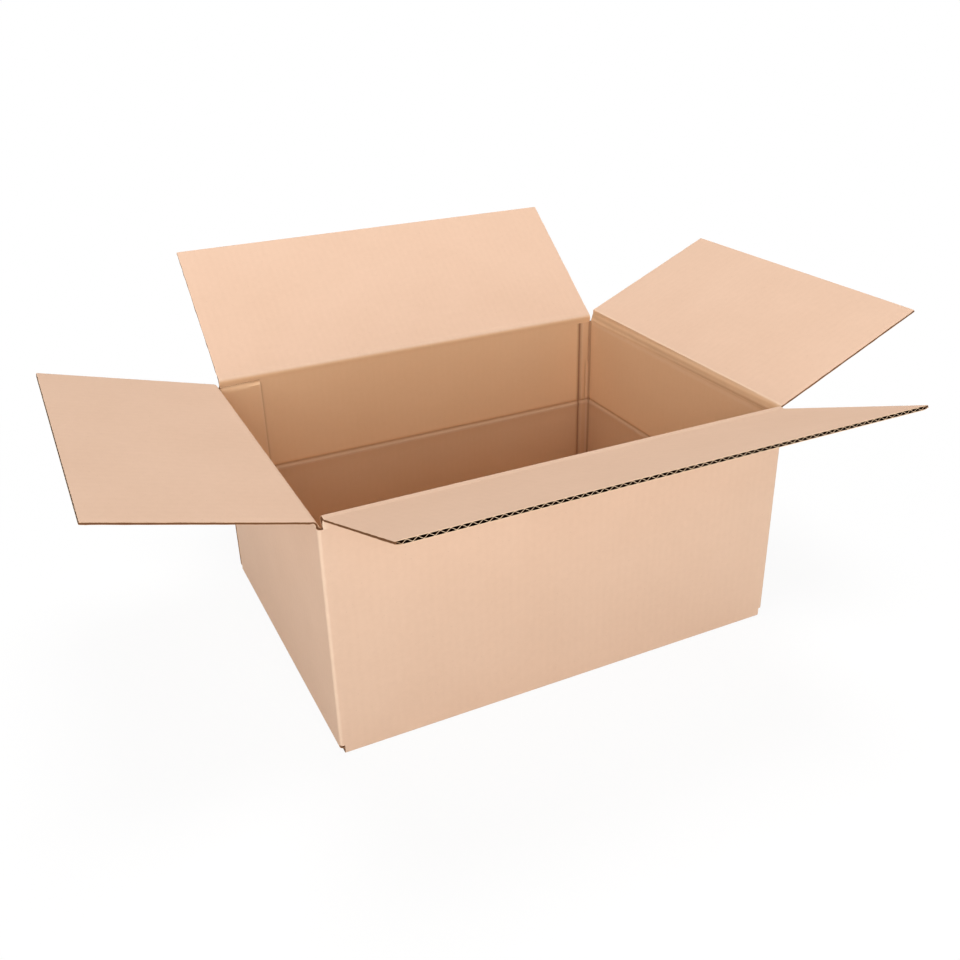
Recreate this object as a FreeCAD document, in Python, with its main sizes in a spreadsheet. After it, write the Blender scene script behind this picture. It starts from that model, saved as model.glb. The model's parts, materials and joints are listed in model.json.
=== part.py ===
# Open corrugated shipping box: a folded sleeve of four walls with its bottom flaps closed, and
# four top flaps standing open. Millimetres, +Z up. The origin is the middle of the underside,
# +X runs along the long walls and -Y is the front. The four walls, the glue tab and the bottom
# flaps are one folded sheet of single-wall board, so they are one solid. Each top flap is a solid
# of its own that turns about the crease on its wall, and its free edge shows the flutes.
import FreeCAD, Part
import Sketcher
import os

SHEET_NAME = "sizes"
SMALLEST_CHANGE = 1e-6  # mm3, less than any feature adds or removes

# Driving dimensions: alias, value and meaning. Lengths are in millimetres and angles in degrees.
SIZES = [
    ("box_length", 400.0, "outside of the box along X"),
    ("box_width", 300.0, "outside of the box along Y"),
    ("box_height", 200.0, "crease of the front and back flaps above the base"),
    ("board", 3.0, "thickness of the board"),
    ("ply_gap", 0.4, "air between two flaps that lie on each other"),
    ("fold_radius", 2.5, "outside radius of a folded edge"),
    ("slot_width", 7.0, "slot between two neighbouring flaps"),
    ("slot_overrun", 2.0, "depth of a slot beyond the crease beside it"),
    ("seam_gap", 1.0, "gap where two long flaps meet in the middle"),
    ("hinge_offset", 0.1, "hinge axis outside the wall's outer face"),
    ("fold_clearance", 0.1, "relief of each mitred edge along a crease"),
    ("glue_tab_width", 41.0, "tab of the left wall, glued inside the back wall"),
    ("glue_tab_thickness", 2.2, "the tab's board, pressed by the gluing"),
    ("glue_tab_inset", 5.0, "tab's end below or above the crease beside it"),
    ("glue_tab_taper", 9.0, "how much each end of the tab closes in at its free edge"),
    ("score_height", 107.0, "middle of the score for folding the walls lower"),
    ("score_width", 3.6, "width of that score on the inside"),
    ("score_depth", 0.8, "depth of that score"),
    ("corner_score_offset", 13.0, "second upright score in the back wall, before its right corner"),
    ("corner_score_width", 2.4, "width of that upright score"),
    ("liner", 0.3, "facing paper on each side of the flutes"),
    ("medium", 0.25, "fluted paper between the facings, where it lies along them"),
    ("flank_width", 0.34, "slanting part of the fluted paper, along the cut edge"),
    ("flute_pitch", 6.58, "one whole wave of the fluted paper"),
    ("flute_crest", 1.2, "stretch of each wave that is glued to a facing"),
    ("crease_band", 9.0, "flutes are crushed within this distance of a flap's crease"),
    ("side_groove", 1.2, "depth of the open flute along each cut side of a flap"),
    ("side_margin", 0.6, "board left between that open flute and the next one, at least"),
    ("tape_width", 50.0, "closing tape under the bottom seam"),
    ("tape_thickness", 0.06, "closing tape"),
    ("tape_inset", 5.0, "tape's end before the end of the bottom seam"),
    ("tape_clearance", 0.3, "room around the tape in the face it is pressed into"),
    ("front_rise", 20.9, "front flap above level, opened outward"),
    ("back_rise", 37.4, "back flap above level, opened outward"),
    ("left_rise", 14.7, "left flap above level, opened outward"),
    ("right_rise", 25.5, "right flap above level, opened outward"),
]

# Expressions for what several sub-parts share
HALF_LENGTH = "sizes.box_length / 2"
HALF_WIDTH = "sizes.box_width / 2"
HALF_SLOT = "sizes.slot_width / 2"
BOARD = "sizes.board"
LONG_CREASE = "sizes.box_height"
SHORT_CREASE = "(sizes.box_height - sizes.board - sizes.ply_gap)"
LONG_FLAP_SPAN = "(sizes.box_length - sizes.slot_width)"
SHORT_FLAP_SPAN = "(sizes.box_width - sizes.slot_width)"
FLAP_DEPTH = "(sizes.box_width / 2 - sizes.seam_gap / 2 + sizes.hinge_offset)"
INNER_FLAP_BASE = "(sizes.board + sizes.ply_gap)"
FLOOR = "(2 * sizes.board + sizes.ply_gap)"
CORNER_FOLD_LOW = "(2 * sizes.board + sizes.ply_gap + sizes.slot_overrun)"
CORNER_FOLD_HIGH = "(sizes.box_height - sizes.board - sizes.ply_gap - sizes.slot_overrun)"
FOLD_RADIUS = "min(sizes.fold_radius; sizes.slot_width / 2 - sizes.ply_gap)"
PAST_FACE = "sizes.board"  # how far a cut starts outside the board

# Each top flap: span along its crease, crease height, distance of its hinge axis from the middle
# of the box, direction of that distance, turn about Z that faces it inward, rise above level
FLAPS = {
    "front_flap": (LONG_FLAP_SPAN, LONG_CREASE, HALF_WIDTH, (0, -1), 0, "sizes.front_rise"),
    "right_flap": (SHORT_FLAP_SPAN, SHORT_CREASE, HALF_LENGTH, (1, 0), 90, "sizes.right_rise"),
    "back_flap": (LONG_FLAP_SPAN, LONG_CREASE, HALF_WIDTH, (0, 1), 180, "sizes.back_rise"),
    "left_flap": (SHORT_FLAP_SPAN, SHORT_CREASE, HALF_LENGTH, (-1, 0), -90, "sizes.left_rise"),
}


def make_sheet(document):
    """The spreadsheet that holds every driving dimension under its alias."""
    sheet = document.addObject("Spreadsheet::Sheet", SHEET_NAME)
    for row, (alias, value, meaning) in enumerate(SIZES, start=1):
        sheet.set(f"A{row}", alias)
        sheet.set(f"B{row}", str(value))
        sheet.set(f"C{row}", meaning)
        sheet.setAlias(f"B{row}", alias)
    document.recompute()
    return sheet


def number(owner, expression):
    """The present value of an expression on the sheet."""
    return float(owner.evalExpression(expression))


def new_body(document, name):
    body = document.addObject("PartDesign::Body", name)
    body.Label = name
    return body


def new_sketch(body, name, plane, offset="0"):
    """A sketch on one of the body's own origin planes, moved along that plane's normal."""
    sketch = body.newObject("Sketcher::SketchObject", name)
    support = next(item for item in body.Origin.OriginFeatures if item.Role == plane)
    sketch.AttachmentSupport = [(support, "")]
    sketch.MapMode = "FlatFace"
    sketch.setExpression("AttachmentOffset.Base.z", offset)
    return sketch


def pin_corner(sketch, geometry, corner):
    """Holds the start point of one edge at a pair of expressions."""
    for kind, expression in zip(("DistanceX", "DistanceY"), corner):
        rule = Sketcher.Constraint(kind, -1, 1, geometry, 1, number(sketch, expression))
        index = sketch.addConstraint(rule)
        sketch.setExpression(f"Constraints[{index}]", expression)


def add_outline(sketch, corners):
    """One closed outline of straight edges through corners given as pairs of expressions."""
    first = sketch.GeometryCount
    count = len(corners)
    points = [FreeCAD.Vector(number(sketch, x), number(sketch, y), 0) for x, y in corners]
    for start, end in zip(points, points[1:] + points[:1]):
        sketch.addGeometry(Part.LineSegment(start, end))
    for step in range(count):
        following = first + (step + 1) % count
        sketch.addConstraint(Sketcher.Constraint("Coincident", first + step, 2, following, 1))
    for step, corner in enumerate(corners):
        pin_corner(sketch, first + step, corner)


def add_rectangle(sketch, low_x, high_x, low_y, high_y):
    add_outline(sketch, [(low_x, low_y), (high_x, low_y), (high_x, high_y), (low_x, high_y)])


def add_feature(body, kind, name, sketch, length, both_ways=False, reverse=False):
    """A pad or pocket of one sketch; stops if it didn't change the volume of the body."""
    before = body.Shape.Volume if body.Tip and not body.Shape.isNull() else 0.0
    feature = body.newObject(kind, name)
    feature.Profile = sketch
    feature.SideType = "Symmetric" if both_ways else "One side"
    feature.Reversed = reverse
    feature.setExpression("Length", length)
    body.Document.recompute()
    if abs(body.Shape.Volume - before) < SMALLEST_CHANGE:
        raise RuntimeError(f"{name} changed nothing")
    return feature


def add_pad(body, name, sketch, length, **options):
    return add_feature(body, "PartDesign::Pad", name, sketch, length, **options)


def add_pocket(body, name, sketch, length, **options):
    return add_feature(body, "PartDesign::Pocket", name, sketch, length, **options)


def edges_at(shape, middles):
    """Names of the edges whose middles lie nearest to the given points."""
    centres = [edge.CenterOfMass for edge in shape.Edges]
    names = []
    for middle in middles:
        distances = [centre.distanceToPoint(middle) for centre in centres]
        names.append(f"Edge{distances.index(min(distances)) + 1}")
    return names


def make_sleeve(body):
    """Four walls as one ring of board, as high as the crease of the long flaps."""
    outline = new_sketch(body, "sleeve_outline", "XY_Plane")
    add_rectangle(outline, f"-{HALF_LENGTH}", HALF_LENGTH, f"-{HALF_WIDTH}", HALF_WIDTH)
    inside_x = f"{HALF_LENGTH} - {BOARD}"
    inside_y = f"{HALF_WIDTH} - {BOARD}"
    add_rectangle(outline, f"-({inside_x})", inside_x, f"-({inside_y})", inside_y)
    add_pad(body, "sleeve", outline, LONG_CREASE)


def add_corner_squares(sketch):
    """Four squares of half a slot's width in the outer corners of the sleeve."""
    near_x = f"{HALF_LENGTH} - {HALF_SLOT}"
    near_y = f"{HALF_WIDTH} - {HALF_SLOT}"
    for side_x in ("", "-"):
        for side_y in ("", "-"):
            add_rectangle(
                sketch,
                f"{side_x}({near_x})",
                f"{side_x}({HALF_LENGTH} + {PAST_FACE})",
                f"{side_y}({near_y})",
                f"{side_y}({HALF_WIDTH} + {PAST_FACE})",
            )


def cut_slots(body):
    """Slots at the four corners, between neighbouring flaps, at the top and at the bottom."""
    top = new_sketch(body, "top_slot_outline", "XY_Plane", LONG_CREASE)
    add_corner_squares(top)
    add_pocket(body, "top_slots", top, f"{LONG_CREASE} - {CORNER_FOLD_HIGH}")
    bottom = new_sketch(body, "bottom_slot_outline", "XY_Plane")
    add_corner_squares(bottom)
    add_pocket(body, "bottom_slots", bottom, CORNER_FOLD_LOW, reverse=True)


def close_bottom(body):
    """Bottom flaps, the short pair folded in first and the long pair under it."""
    clear = new_sketch(body, "short_wall_clearance_outline", "XY_Plane")
    for side in ("", "-"):
        add_rectangle(
            clear,
            f"{side}({HALF_LENGTH} - {BOARD})",
            f"{side}({HALF_LENGTH} + {PAST_FACE})",
            f"-({HALF_WIDTH} - {HALF_SLOT})",
            f"{HALF_WIDTH} - {HALF_SLOT}",
        )
    add_pocket(body, "short_wall_clearance", clear, INNER_FLAP_BASE, reverse=True)

    outer = new_sketch(body, "outer_bottom_flap_outline", "XY_Plane")
    for side in ("", "-"):
        add_rectangle(
            outer,
            f"-({HALF_LENGTH} - {HALF_SLOT})",
            f"{HALF_LENGTH} - {HALF_SLOT}",
            f"{side}(sizes.seam_gap / 2)",
            f"{side}({HALF_WIDTH})",
        )
    add_pad(body, "outer_bottom_flaps", outer, BOARD)

    inner = new_sketch(body, "inner_bottom_flap_outline", "XY_Plane", INNER_FLAP_BASE)
    for side in ("", "-"):
        add_rectangle(
            inner,
            f"{side}({HALF_LENGTH} - {HALF_WIDTH} + sizes.seam_gap / 2)",
            f"{side}({HALF_LENGTH})",
            f"-({HALF_WIDTH} - {HALF_SLOT})",
            f"{HALF_WIDTH} - {HALF_SLOT}",
        )
    add_pad(body, "inner_bottom_flaps", inner, BOARD)


def add_mitre_pair(sketch, half_span, crease):
    """Waste above the mitred top edges of two opposite walls, seen along their creases."""
    outer = f"{half_span} + {PAST_FACE}"
    inner = f"{half_span} - {BOARD} - sizes.fold_clearance"
    level = f"{crease} - sizes.hinge_offset - sizes.fold_clearance"
    for side in ("", "-"):
        add_outline(
            sketch,
            [
                (f"{side}({outer})", f"{level} + {PAST_FACE}"),
                (f"{side}({inner})", f"{level} - {BOARD} - sizes.fold_clearance"),
                (f"{side}({inner})", f"{LONG_CREASE} + {PAST_FACE}"),
                (f"{side}({outer})", f"{LONG_CREASE} + {PAST_FACE}"),
            ],
        )


def mitre_walls(body):
    """Top edge of each wall, cut back at 45 degrees under its crease line."""
    long_walls = new_sketch(body, "long_wall_mitre_outline", "YZ_Plane")
    add_mitre_pair(long_walls, HALF_WIDTH, LONG_CREASE)
    add_pocket(body, "long_wall_mitres", long_walls, LONG_FLAP_SPAN, both_ways=True)
    short_walls = new_sketch(body, "short_wall_mitre_outline", "XZ_Plane")
    add_mitre_pair(short_walls, HALF_LENGTH, SHORT_CREASE)
    add_pocket(body, "short_wall_mitres", short_walls, SHORT_FLAP_SPAN, both_ways=True)


def add_glue_tab(body):
    """Tab that continues the left wall round the corner and is glued inside the back wall."""
    outline = new_sketch(body, "glue_tab_outline", "XZ_Plane", f"-({HALF_WIDTH} - {BOARD})")
    root = f"-({HALF_LENGTH} - {BOARD})"
    tip = f"{root} + sizes.glue_tab_width"
    low = f"{FLOOR} + sizes.glue_tab_inset"
    high = f"{SHORT_CREASE} - sizes.glue_tab_inset"
    add_outline(
        outline,
        [
            (root, low),
            (tip, f"{low} + sizes.glue_tab_taper"),
            (tip, f"{high} - sizes.glue_tab_taper"),
            (root, high),
        ],
    )
    add_pad(body, "glue_tab", outline, "sizes.glue_tab_thickness")


def cut_glued_corner(body):
    """Groove between the rounded fold of the tab and the raw end of the back wall."""
    sketch = new_sketch(body, "glued_corner_outline", "XY_Plane", CORNER_FOLD_LOW)
    face = f"-{HALF_LENGTH}"
    joint = f"{HALF_WIDTH} - {BOARD}"
    corners = [
        (face, f"{joint} - {FOLD_RADIUS}"),
        (face, joint),
        (f"{face} + {FOLD_RADIUS}", joint),
    ]
    low, corner, high = [FreeCAD.Vector(number(sketch, x), number(sketch, y), 0) for x, y in corners]
    centre = FreeCAD.Vector(high.x, low.y, 0)
    radius = number(sketch, FOLD_RADIUS)
    middle = centre + (corner - centre).normalize() * radius
    sketch.addGeometry(Part.LineSegment(low, corner))
    sketch.addGeometry(Part.LineSegment(corner, high))
    sketch.addGeometry(Part.Arc(high, middle, low))
    sketch.addConstraint(Sketcher.Constraint("Coincident", 0, 2, 1, 1))
    arc_start_is_low = sketch.getPoint(2, 1).distanceToPoint(low) < radius / 2
    low_end, high_end = (1, 2) if arc_start_is_low else (2, 1)
    sketch.addConstraint(Sketcher.Constraint("Coincident", 2, low_end, 0, 1))
    sketch.addConstraint(Sketcher.Constraint("Coincident", 2, high_end, 1, 2))
    pin_corner(sketch, 0, corners[0])
    pin_corner(sketch, 1, corners[1])
    level = sketch.addConstraint(Sketcher.Constraint("DistanceX", 0, 1, 1, 2, radius))
    sketch.setExpression(f"Constraints[{level}]", FOLD_RADIUS)
    sketch.addConstraint(Sketcher.Constraint("Horizontal", 1))
    bend = sketch.addConstraint(Sketcher.Constraint("Radius", 2, radius))
    sketch.setExpression(f"Constraints[{bend}]", FOLD_RADIUS)
    add_pocket(body, "glued_corner", sketch, f"{CORNER_FOLD_HIGH} - {CORNER_FOLD_LOW}", reverse=True)


def score_section(body, name, level, depth):
    """The inside of the sleeve at one level, widened by the depth of the score there."""
    sketch = new_sketch(body, name, "XY_Plane", level)
    half_x = f"({HALF_LENGTH} - {BOARD} + {depth})"
    half_y = f"({HALF_WIDTH} - {BOARD} + {depth})"
    add_rectangle(sketch, f"-{half_x}", half_x, f"-{half_y}", half_y)
    return sketch


def score_walls(body):
    """V-shaped score round the inside of the walls, along which they can be folded lower."""
    half = "sizes.score_width / 2"
    lower = score_section(body, "score_lower_edge", f"sizes.score_height - {half}", "0")
    valley = score_section(body, "score_valley", "sizes.score_height", "sizes.score_depth")
    upper = score_section(body, "score_upper_edge", f"sizes.score_height + {half}", "0")
    before = body.Shape.Volume
    score = body.newObject("PartDesign::SubtractiveLoft", "wall_score")
    score.Profile = lower
    score.Sections = [valley, upper]
    score.Ruled = True
    body.Document.recompute()
    if body.Shape.Volume >= before:
        raise RuntimeError("wall_score changed nothing")


def score_glue_tab(body):
    """The same score where it crosses the face of the glue tab."""
    sketch = new_sketch(body, "tab_score_outline", "YZ_Plane", f"-({HALF_LENGTH} - {BOARD})")
    face = f"{HALF_WIDTH} - {BOARD} - sizes.glue_tab_thickness"
    half = "sizes.score_width / 2"
    add_outline(
        sketch,
        [
            (face, f"sizes.score_height - {half}"),
            (f"{face} + sizes.score_depth", "sizes.score_height"),
            (face, f"sizes.score_height + {half}"),
        ],
    )
    add_pocket(body, "tab_score", sketch, "sizes.glue_tab_width", reverse=True)


def score_back_corner(body):
    """Upright score on the inside of the back wall, beside its folded right corner."""
    sketch = new_sketch(body, "corner_score_outline", "XY_Plane", FLOOR)
    middle = f"{HALF_LENGTH} - {BOARD} - sizes.corner_score_offset"
    face = f"{HALF_WIDTH} - {BOARD}"
    half = "sizes.corner_score_width / 2"
    add_outline(
        sketch,
        [
            (f"{middle} - {half}", face),
            (middle, f"{face} + sizes.score_depth"),
            (f"{middle} + {half}", face),
        ],
    )
    add_pocket(body, "corner_score", sketch, LONG_CREASE, reverse=True)


def recess_tape(body):
    """Shallow place in the underside that the closing tape is pressed into."""
    sketch = new_sketch(body, "tape_recess_outline", "XY_Plane")
    add_tape_outline(sketch, "sizes.tape_clearance")
    add_pocket(body, "tape_recess", sketch, "sizes.tape_thickness", reverse=True)


def add_tape_outline(sketch, clearance):
    half_x = f"({HALF_LENGTH} - {HALF_SLOT} - sizes.tape_inset + {clearance})"
    half_y = f"(sizes.tape_width / 2 + {clearance})"
    add_rectangle(sketch, f"-{half_x}", half_x, f"-{half_y}", half_y)


def round_edges(body, name, middles):
    """Rounds the outside of the folds whose edges have the given middles."""
    base = body.Tip
    before = body.Shape.Volume
    fillet = body.newObject("PartDesign::Fillet", name)
    fillet.Base = (base, edges_at(base.Shape, middles))
    fillet.setExpression("Radius", FOLD_RADIUS)
    body.Document.recompute()
    if body.Shape.Volume >= before:
        raise RuntimeError(f"{name} changed nothing")


def round_folds(body):
    """Rounds the three folded corners and the four folded bottom edges."""
    half_x = number(body, HALF_LENGTH)
    half_y = number(body, HALF_WIDTH)
    short_base = number(body, INNER_FLAP_BASE)
    level = (number(body, CORNER_FOLD_LOW) + number(body, CORNER_FOLD_HIGH)) / 2
    corners = [(-half_x, -half_y), (half_x, -half_y), (half_x, half_y)]
    round_edges(body, "corner_folds", [FreeCAD.Vector(x, y, level) for x, y in corners])
    round_edges(body, "long_bottom_folds", [FreeCAD.Vector(0, y, 0) for y in (-half_y, half_y)])
    ends = [FreeCAD.Vector(x, 0, short_base) for x in (-half_x, half_x)]
    round_edges(body, "short_bottom_folds", ends)


def make_box_body(document):
    """Walls, glue tab and closed bottom flaps: one folded and glued sheet."""
    body = new_body(document, "box_body")
    make_sleeve(body)
    cut_slots(body)
    close_bottom(body)
    mitre_walls(body)
    score_walls(body)
    add_glue_tab(body)
    score_glue_tab(body)
    score_back_corner(body)
    cut_glued_corner(body)
    recess_tape(body)
    round_folds(body)
    return body


def make_bottom_tape(document):
    """Closing tape along the bottom seam, flush with the underside."""
    body = new_body(document, "bottom_tape")
    sketch = new_sketch(body, "tape_outline", "XY_Plane")
    add_tape_outline(sketch, "0")
    add_pad(body, "tape", sketch, "sizes.tape_thickness")
    return body


def add_flute_channels(sketch, start):
    """The two channels of one wave, beside the inner and the outer facing."""
    outer_face = "sizes.hinge_offset + sizes.liner"
    inner_face = "sizes.hinge_offset + sizes.board - sizes.liner"
    run = "(sizes.flute_pitch / 2 - sizes.flute_crest)"
    rise = "(sizes.board - 2 * sizes.liner)"
    wide = "(sizes.flute_crest / 2 + sizes.flank_width / 2)"
    slope_shift = f"({run} * sizes.medium / {rise})"
    narrow = f"(sizes.flute_crest / 2 - sizes.flank_width / 2 + {slope_shift})"
    half_wave = "sizes.flute_pitch / 2"
    inner_middle = f"{start} + {half_wave}"
    add_outline(
        sketch,
        [
            (f"{inner_middle} - {half_wave} + {wide}", inner_face),
            (f"{inner_middle} + {half_wave} - {wide}", inner_face),
            (f"{inner_middle} + {narrow}", f"{outer_face} + sizes.medium"),
            (f"{inner_middle} - {narrow}", f"{outer_face} + sizes.medium"),
        ],
    )
    outer_middle = f"{start} + 2 * {half_wave}"
    add_outline(
        sketch,
        [
            (f"{outer_middle} - {half_wave} + {wide}", outer_face),
            (f"{outer_middle} + {half_wave} - {wide}", outer_face),
            (f"{outer_middle} + {narrow}", f"{inner_face} - sizes.medium"),
            (f"{outer_middle} - {narrow}", f"{inner_face} - sizes.medium"),
        ],
    )


def make_flap(document, name):
    """One top flap, upright about its hinge axis on local X and then placed as it stands open."""
    span, crease, reach, (side_x, side_y), turn, rise = FLAPS[name]
    body = new_body(document, name)
    profile = new_sketch(body, f"{name}_profile", "YZ_Plane")
    outer_face = "sizes.hinge_offset"
    inner_face = f"sizes.hinge_offset + {BOARD}"
    add_outline(
        profile,
        [
            (outer_face, f"{outer_face} + sizes.fold_clearance"),
            (outer_face, FLAP_DEPTH),
            (inner_face, FLAP_DEPTH),
            (inner_face, f"{inner_face} + sizes.fold_clearance"),
        ],
    )
    add_pad(body, f"{name}_board", profile, span, both_ways=True)

    flute_length = f"{FLAP_DEPTH} - sizes.crease_band"
    sides = new_sketch(body, f"{name}_side_outline", "XY_Plane", FLAP_DEPTH)
    for side in ("", "-"):
        add_rectangle(
            sides,
            f"{side}({span} / 2 - sizes.side_groove)",
            f"{side}({span} / 2 + {PAST_FACE})",
            f"{outer_face} + sizes.liner",
            f"{inner_face} - sizes.liner",
        )
    add_pocket(body, f"{name}_sides", sides, flute_length)

    flutes = new_sketch(body, f"{name}_flute_outline", "XY_Plane", FLAP_DEPTH)
    room = f"({span} - 2 * sizes.side_groove - 2 * sizes.side_margin)"
    count = f"floor({room} / sizes.flute_pitch - 1 / 2)"
    add_flute_channels(flutes, f"-({count} + 1 / 2) * sizes.flute_pitch / 2")
    channel = add_pocket(body, f"{name}_flute", flutes, flute_length)
    pattern = body.newObject("PartDesign::LinearPattern", f"{name}_flutes")
    pattern.Originals = [channel]
    pattern.Direction = (flutes, ["H_Axis"])
    pattern.setExpression("Length", f"({count} - 1) * sizes.flute_pitch")
    pattern.setExpression("Occurrences", count)
    body.Tip = pattern

    away = f"({reach} + sizes.hinge_offset)"
    base = f"vector({side_x} * {away}; {side_y} * {away}; {crease})"
    body.setExpression("Placement", f"placement({base}; rotation({turn}; 0; 90 - {rise}))")
    document.recompute()
    return body


def check_document(document):
    """Stops on any object that failed to compute."""
    for item in document.Objects:
        if "Invalid" in item.State or "Error" in item.State:
            raise RuntimeError(f"{item.Name} is {item.State}")


def export_parts(bodies):
    """Writes one STEP file per sub-part, once all of them are sound."""
    for body in bodies:
        if body.Shape.isNull() or not body.Shape.isValid():
            raise RuntimeError(f"{body.Label} has no valid shape")
    os.makedirs("parts", exist_ok=True)
    for body in bodies:
        body.Shape.exportStep(f"parts/{body.Label}.step")
        box = body.Shape.BoundBox
        print(
            f"{body.Label}: {len(body.Shape.Solids)} solid, {body.Shape.Volume:.0f} mm3,"
            f" {box.XLength:.1f} x {box.YLength:.1f} x {box.ZLength:.1f} mm"
        )


def main():
    document = FreeCAD.newDocument("open_box")
    make_sheet(document)
    bodies = [make_box_body(document), make_bottom_tape(document)]
    bodies += [make_flap(document, name) for name in FLAPS]
    document.recompute()
    check_document(document)
    export_parts(bodies)


main()
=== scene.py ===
import json
import math

import bmesh
import bpy
from mathutils import Matrix, Vector, noise


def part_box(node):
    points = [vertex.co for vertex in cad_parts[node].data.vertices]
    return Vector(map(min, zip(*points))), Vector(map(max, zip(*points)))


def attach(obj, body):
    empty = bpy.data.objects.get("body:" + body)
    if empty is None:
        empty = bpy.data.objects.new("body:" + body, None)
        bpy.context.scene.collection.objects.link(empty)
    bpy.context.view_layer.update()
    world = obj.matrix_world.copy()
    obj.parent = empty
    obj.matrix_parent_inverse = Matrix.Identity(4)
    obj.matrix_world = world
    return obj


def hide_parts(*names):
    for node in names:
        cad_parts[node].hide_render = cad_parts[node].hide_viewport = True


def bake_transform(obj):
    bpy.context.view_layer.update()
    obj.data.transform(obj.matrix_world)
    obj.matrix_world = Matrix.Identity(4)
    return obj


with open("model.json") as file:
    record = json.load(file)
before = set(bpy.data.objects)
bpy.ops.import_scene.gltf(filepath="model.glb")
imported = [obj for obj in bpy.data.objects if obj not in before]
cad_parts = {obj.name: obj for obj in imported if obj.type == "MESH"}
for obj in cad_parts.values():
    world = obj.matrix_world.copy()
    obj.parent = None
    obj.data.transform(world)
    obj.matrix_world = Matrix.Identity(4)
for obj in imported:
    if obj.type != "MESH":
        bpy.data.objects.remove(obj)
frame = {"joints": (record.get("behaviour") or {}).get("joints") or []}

# An open cardboard box. The lengths below are millimetres and the angles degrees.
# Every point of the board is found from where it lay in the flat sheet: s runs round the
# four walls, h runs up them and on into the flaps, and depth goes in from the outer face.

MM = 0.001
UP = Vector((0, 0, 1))
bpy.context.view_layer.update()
TOP_CREASE = max(joint["pos_m"][2] for joint in frame["joints"]) / MM

BOARD = 3.0
LINER = 0.38
MEDIUM = 0.34
LAYERS = (0.0, LINER, BOARD - LINER, BOARD)
OUTSIDE, INSIDE, RIM, CORE = range(4)

FLUTE_PITCH = 6.58
FLUTE_STEPS = 12
FLUTE_SHARPNESS = 0.97
GLUE_LINE = 0.02
CORE_START = 9.0
SIDE_GROOVE = 1.2

HALF_SLOT = 3.5
SLOT_FOOT = 8.4
SLOT_HEAD = 194.6
FLAP_DEPTH = 149.6
EDGE_TRIM = 0.1
BOTTOM_CORE = 20.0
SHARP_ANGLE = 38.0

OUTER_RADIUS = 2.6
INNER_RADIUS = 0.4

TAB_REACH = 40.5
TAB_TAPER = 12.0
TAB_TOP = 196.6
TAB_FLAT_TOP = 194.4
TAB_FLAT_FADE = 2.2
TAB_FLAT_THICKNESS = 0.45
TAB_THICKNESS = 2.2
TAB_BLEND = 8.0
RAW_END_GROOVE = 1.6

SCORE_HEIGHT = 107.0
SCORE_HALF_WIDTH = 2.2
SCORE_DEPTH = 0.8
CORNER_SCORE = 16.0
CORNER_SCORE_HALF_WIDTH = 1.2

SCORE_BEAD = 0.45
BEAD_DROP = 3.4
BEAD_HALF_WIDTH = 2.6
WRINKLE = 8.0
WRINKLE_TOP = 4.6
WRINKLE_STEP = 146.0
WRINKLE_STEP_HEIGHT = 7.0
WRINKLE_DEPTH = 0.8
WRINKLE_HALF_WIDTH = 1.1

WALL_BOW = 0.5
BOW_MARGIN = 45.0
BOW_GROWTH = 60.0
BOW_LENGTH = 110.0

TAPE_RECESS = 0.08
TAPE_MARGIN = 0.3
TAPE_TOOTH = 3.0
TAPE_TOOTH_DEPTH = 1.4
TAPE_CELLS = 40

# The creases of the top flaps. A raised crease steps up from the wall before the flap's plane.
STEP_START = 0.4
STEP_SLOPE = 2.1
EDGE_WANDER = 0.6
EDGE_WAVES = 22.0
GROOVE_DROP = 5.6
GROOVE_HALF_WIDTH = 2.8
GROOVE_DEPTH = 0.25
LIP_DROP = 10.0
LIP_HALF_WIDTH = 3.2
PRESS_WIDTH = 5.0
SIDE_PINCH = 0.42
PINCH_WIDTH = 5.0
PINCH_START = 3.0
PINCH_DEPTH = 0.8
RAGGED = 0.9
RAGGED_WIDTH = 1.5
RAGGED_WAVE = 4.0

# How close together the mesh's points are, and how far the closer ones reach beside a feature.
SCORE_STEP = 0.4
FOLD_STEP = 0.5
MARK_STEP = 0.6
SLOT_STEP = 0.7
SHADE_STEP = 0.8
RAW_END_STEP = 0.95
END_STEP = 1.0
EASY_STEP = 2.0
RISE_STEP = 3.0
FREE_STEP = 4.0
TAB_STEP = 5.0
PLAIN_STEP = 6.0
FLAP_STEP = 7.0
HIGH_STEP = 8.0
WIDE_STEP = 10.0
MEDIUM_STEP = 14.0
END_ZONE = 3.0
MARGIN = 6.0
SIDE_ZONE = 8.0
FOLD_ZONE = 12.0
CREASE_ZONE = 13.0
FOOT_ZONE = (-3.2, 7.0)
RISE_END = 18.0
MEDIUM_LAP = 1.0
MEDIUM_INSET = 0.4

# Marks painted into the paper's colour. The corner, upright-score and tab-top lines, and the score,
# groove, corner-band, tab and lower shades, are painted shade where shade falls: in corners, scores and
# grooves, beside the tab and low inside the box.
# The lips and the bead are painted highlights on the lit sides of scores and creases, and the rubs are
# wear on the fold crests with a painted highlight.
# The inner shade is painted shade too, a browner tone over the inside. A line, a lip or a rub is its
# strength, its place and its half width.
CORNER_SHADE_LINE = (0.9, 3.0, 1.8)
DEEP_CORNER_SHADE_LINE = (1.0, 3.0, 2.4)
DEEP_CORNER_REACH = 7.0
UPRIGHT_SHADE_LINE = (1.0, CORNER_SCORE, 2.6)
UPRIGHT_LIP_HIGHLIGHT = (0.4, CORNER_SCORE - 3.2, 1.6)
WRINKLE_LIP_HIGHLIGHT = (0.4, 6.0, 1.4)
TAB_TOP_SHADE_LINE = (0.4, SLOT_HEAD, 1.6)
TAB_EDGE_RUB = (0.15, 0.0, 2.5)
TAB_SHADE_LINE = (0.35, 0.0, 2.0)
TAB_SHADE_GAP = 0.5
CREASE_RUB_AND_HIGHLIGHT = (0.4, 0.8, 1.6)
FOLD_RUB_AND_HIGHLIGHT = (0.35, 0.0, 3.5)
BEAD_HIGHLIGHT = 0.35
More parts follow.
